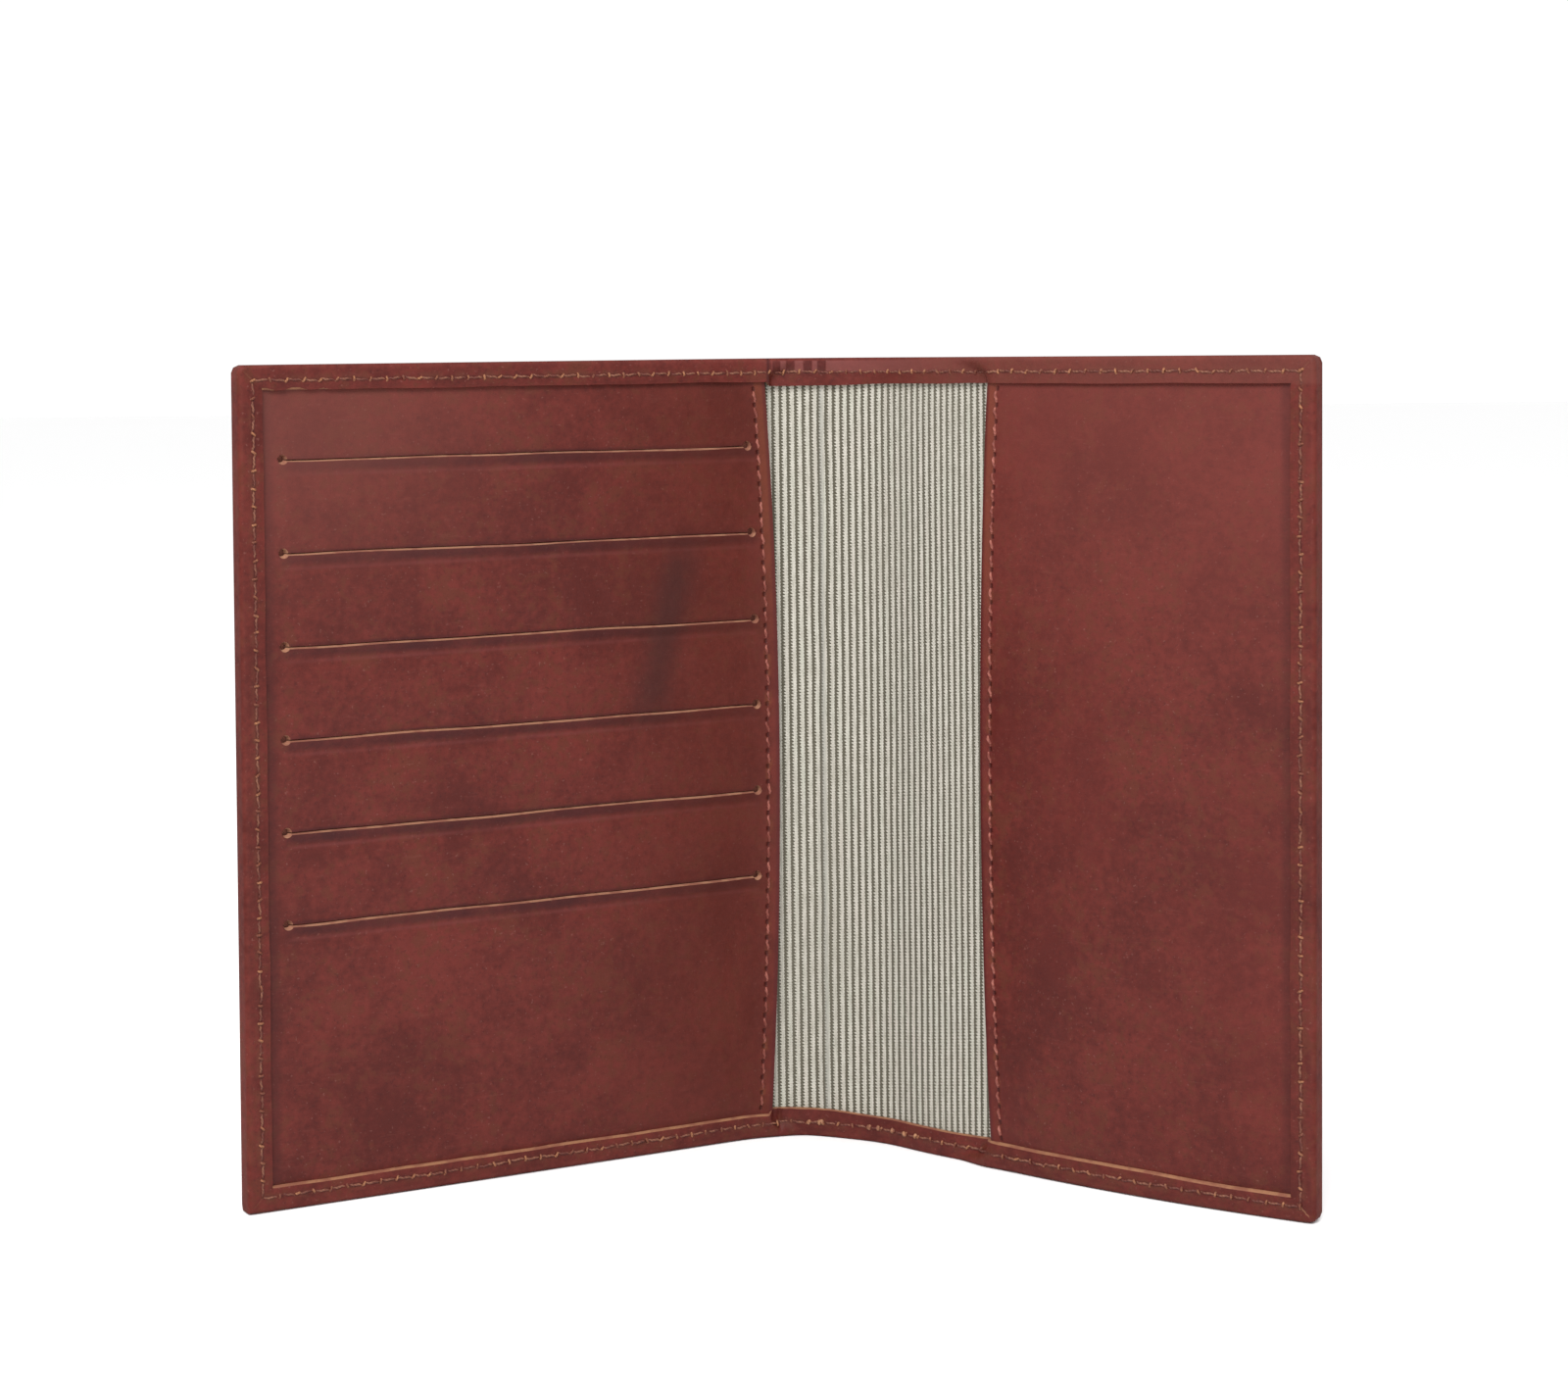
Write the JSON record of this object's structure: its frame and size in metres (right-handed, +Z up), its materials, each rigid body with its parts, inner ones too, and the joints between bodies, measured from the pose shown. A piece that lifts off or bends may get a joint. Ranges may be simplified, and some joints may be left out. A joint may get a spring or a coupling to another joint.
{
  "type": "passport holder",
  "caption": "Leather passport holder, open like a book: a panel of card slits on one side, a passport pocket on the other, striped cloth lining between.",
  "frame": {"origin": "middle of the base, on the surface that the open holder stands on", "axes": "+Z up along the fold; +X from the front cover (card slits) to the back cover (passport pocket); +Y from the open side towards the spine"},
  "size_m": [0.1786, 0.0622, 0.14],
  "materials": {
    "brown_leather": "semi-matte, lightly waxed, fine grain",
    "bonded_leather": "matte, pressed fibre",
    "striped_ticking": "cotton ticking with narrow woven stripes",
    "pocket_cloth": "thin plain-weave polyester",
    "tan_thread": "bonded sewing thread",
    "rust_thread": "bonded sewing thread"
  },
  "bodies": {
    "back_cover": {"back_cover_leather": "brown_leather", "back_spine_leather": "brown_leather", "back_reinforcement": "bonded_leather", "back_lining": "striped_ticking", "back_seam_filler": "bonded_leather", "back_turned_edge_top": "brown_leather", "back_turned_edge_bottom": "brown_leather", "back_turned_edge_side": "brown_leather", "back_spine_turned_edges": "brown_leather", "back_edge_needle_thread": "tan_thread", "back_edge_bobbin_thread": "tan_thread", "passport_panel": "brown_leather", "passport_panel_thread": "rust_thread"},
    "front_cover": {"front_cover_leather": "brown_leather", "front_spine_leather": "brown_leather", "front_reinforcement": "bonded_leather", "front_lining": "striped_ticking", "front_seam_filler": "bonded_leather", "front_turned_edge_top": "brown_leather", "front_turned_edge_bottom": "brown_leather", "front_turned_edge_side": "brown_leather", "front_spine_turned_edges": "brown_leather", "front_edge_needle_thread": "tan_thread", "front_edge_bobbin_thread": "tan_thread", "card_panel": "brown_leather", "card_panel_thread": "rust_thread", "card_pocket_1": "pocket_cloth", "card_pocket_2": "pocket_cloth", "card_pocket_3": "pocket_cloth", "card_pocket_4": "pocket_cloth", "card_pocket_5": "pocket_cloth", "card_pocket_6": "pocket_cloth"}
  },
  "joints": [
    {"name": "cover_fold", "type": "hinge", "parent": "back_cover", "child": "front_cover", "pos_m": [0.00445, 0.03002, 0], "axis": [0, 0, 1], "range_deg": [-65, 111]}
  ]
}
